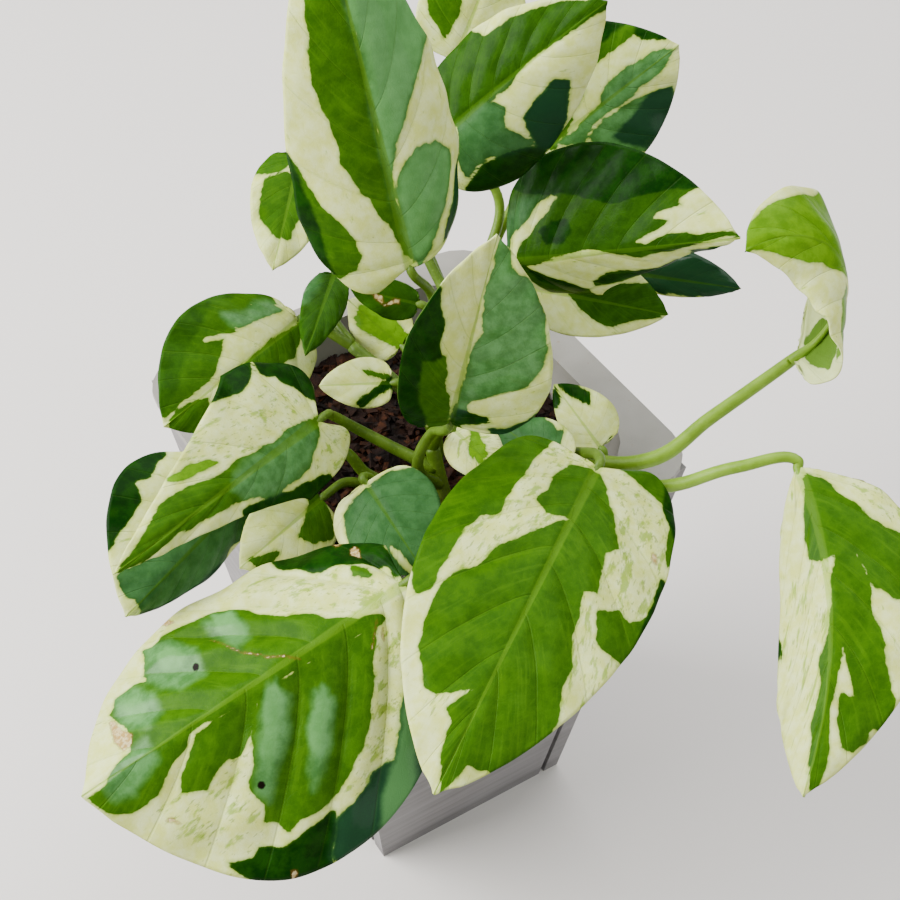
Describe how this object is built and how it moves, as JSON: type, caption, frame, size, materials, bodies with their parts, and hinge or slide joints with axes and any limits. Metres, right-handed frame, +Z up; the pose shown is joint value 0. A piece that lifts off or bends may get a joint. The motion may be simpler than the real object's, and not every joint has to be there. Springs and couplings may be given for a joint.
{
  "type": "potted pothos",
  "caption": "Variegated trailing houseplant with broad pointed leaves on arching stalks, standing in a square tapered wooden planter with a plastic insert.",
  "frame": {"origin": "middle of the planter's underside, on the surface it stands on", "axes": "+Z up; X and Y square to the planter's sides"},
  "size_m": [0.191, 0.176, 0.2562],
  "materials": {
    "grey_washed_wood": "grey wash, matte",
    "dark_wood": "unpainted, dark",
    "liner_plastic": "off-white, satin",
    "coco_husk": "damp coco husk, rough",
    "stalk": "smooth green stalk",
    "leaf": "smooth, slightly glossy leaf"
  },
  "bodies": {
    "root": {"corner_post_back": "dark_wood", "corner_post_front": "dark_wood", "corner_post_left": "dark_wood", "corner_post_right": "dark_wood", "floor_board": "dark_wood", "leaf_01": "leaf", "leaf_02": "leaf", "leaf_03": "leaf", "leaf_04": "leaf", "leaf_05": "leaf", "leaf_06": "leaf", "leaf_07": "leaf", "leaf_08": "leaf", "leaf_09": "leaf", "leaf_10": "leaf", "leaf_11": "leaf", "leaf_12": "leaf", "leaf_13": "leaf", "leaf_14": "leaf", "leaf_15": "leaf", "leaf_16": "leaf", "leaf_17": "leaf", "leaf_18": "leaf", "leaf_19": "leaf", "leaf_20": "leaf", "leaf_21": "leaf", "leaf_22": "leaf", "leaf_23": "leaf", "leaf_24": "leaf", "leaf_25": "leaf", "liner": "liner_plastic", "side_board_back": "grey_washed_wood", "side_board_front": "grey_washed_wood", "side_board_left": "grey_washed_wood", "side_board_right": "grey_washed_wood", "soil": "coco_husk", "vine_a": "stalk", "vine_b": "stalk", "vine_c": "stalk", "vine_d": "stalk"}
  },
  "joints": []
}
